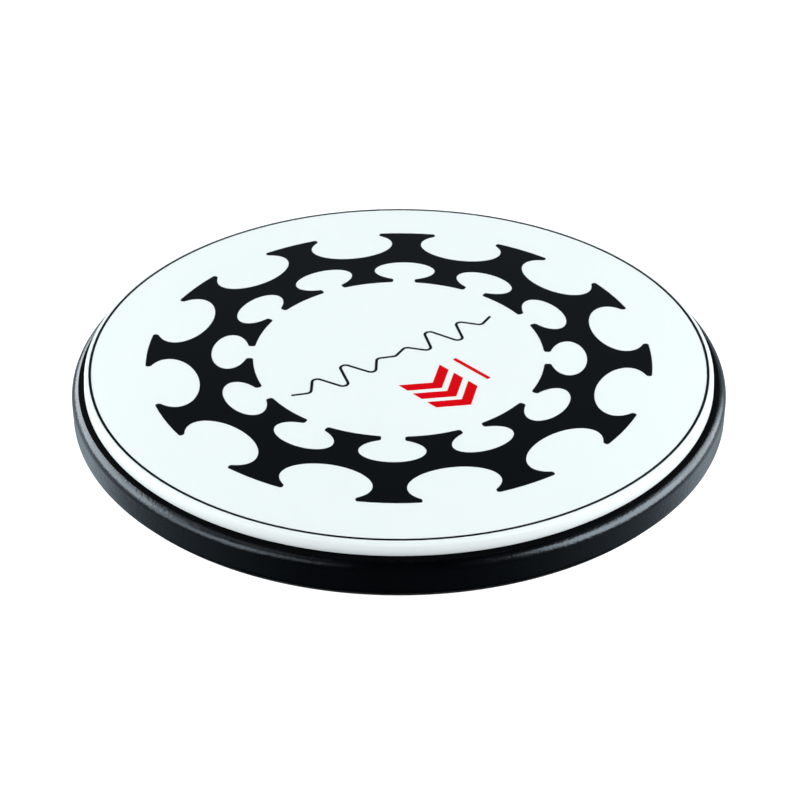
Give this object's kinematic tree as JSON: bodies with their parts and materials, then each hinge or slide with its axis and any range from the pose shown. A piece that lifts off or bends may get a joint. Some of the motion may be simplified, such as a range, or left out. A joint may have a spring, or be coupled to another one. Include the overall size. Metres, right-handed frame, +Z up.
{
  "type": "drum practice pad",
  "caption": "Round table-top drum practice pad: a white rubber playing surface with a black printed ring, on a black board with a rounded shoulder and a non-slip base.",
  "frame": {"origin": "centre of the resting face, on the surface that the pad lies on", "axes": "+Z up, along the pad's round axis; +Y along one arm of the printed ring, away from the player"},
  "size_m": [0.3048, 0.3048, 0.0247],
  "materials": {
    "white_rubber": "smooth matt moulded rubber",
    "painted_board": "satin black textured paint over fibreboard",
    "black_rubber": "fine-textured non-slip rubber",
    "adhesive": "clear amber glue film",
    "black_ink": "satin screen-printed ink",
    "red_ink": "satin screen-printed ink"
  },
  "bodies": {
    "root": {"non_slip_sheet": "black_rubber", "base_adhesive": "adhesive", "base_board": "painted_board", "surface_adhesive": "adhesive", "playing_surface": "white_rubber", "border_line": "black_ink", "ring_print": "black_ink", "flourish_print": "black_ink", "accent_print": "red_ink"}
  },
  "joints": []
}
